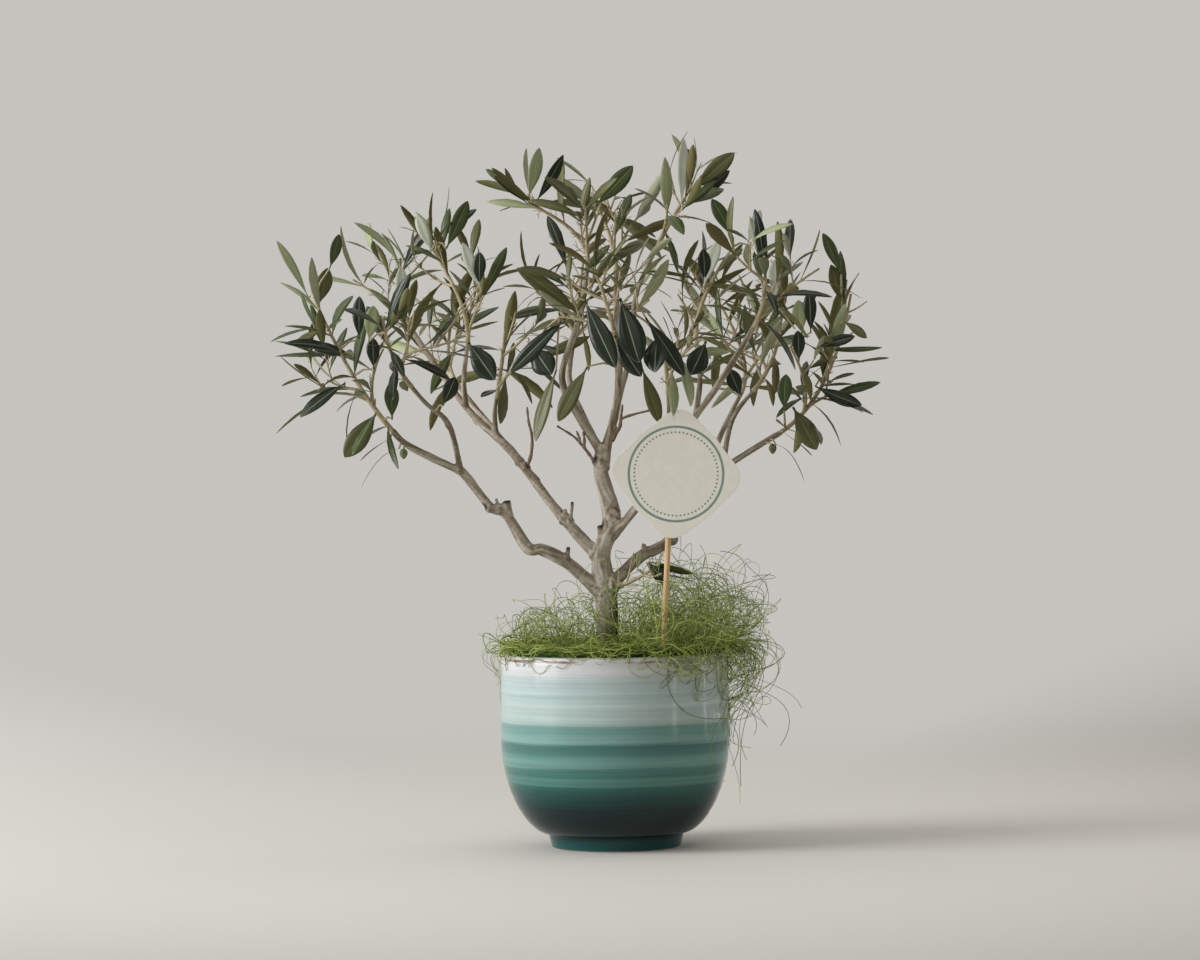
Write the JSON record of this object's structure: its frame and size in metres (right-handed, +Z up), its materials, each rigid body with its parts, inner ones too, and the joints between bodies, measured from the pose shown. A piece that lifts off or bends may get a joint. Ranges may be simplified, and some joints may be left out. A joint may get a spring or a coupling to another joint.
{
  "type": "bonsai tree",
  "caption": "Small olive bonsai with a slender leaning trunk, spreading boughs and narrow paired leaves, in a round glazed pot with wood wool on the soil and a plain lobed card on a stick.",
  "frame": {"origin": "centre of the pot's flat underside", "axes": "+Z up, -Y towards the front of the tree, where the card faces, +X to its right"},
  "size_m": [0.3245, 0.2257, 0.3745],
  "materials": {
    "glaze": "gloss",
    "soil": "matte",
    "bark": "matte",
    "foliage": "satin",
    "wood_wool": "matte",
    "card": "matte",
    "bamboo": "satin"
  },
  "bodies": {
    "root": {"pot": "glaze", "soil": "soil", "trunk": "bark", "lower_left_bough": "bark", "lower_left_riser": "bark", "middle_left_bough": "bark", "middle_left_spur": "bark", "left_crown_riser": "bark", "back_left_bough": "bark", "lower_right_bough": "bark", "lower_right_riser": "bark", "middle_right_bough": "bark", "middle_right_spur": "bark", "right_crown_riser": "bark", "back_right_bough": "bark", "top_centre_bough": "bark", "top_left_bough": "bark", "top_right_bough": "bark", "front_bough": "bark", "back_bough": "bark", "left_wing_foliage": "foliage", "left_front_foliage": "foliage", "left_shoulder_foliage": "foliage", "left_crown_foliage": "foliage", "left_inner_foliage": "foliage", "left_back_foliage": "foliage", "right_wing_foliage": "foliage", "right_back_wing_foliage": "foliage", "right_shoulder_foliage": "foliage", "right_crown_foliage": "foliage", "right_inner_foliage": "foliage", "right_back_foliage": "foliage", "top_left_foliage": "foliage", "top_centre_foliage": "foliage", "top_right_foliage": "foliage", "front_foliage": "foliage", "trunk_shoot_foliage": "foliage", "back_foliage": "foliage", "wood_wool": "wood_wool", "card": "card", "card_stick": "bamboo"}
  },
  "joints": []
}
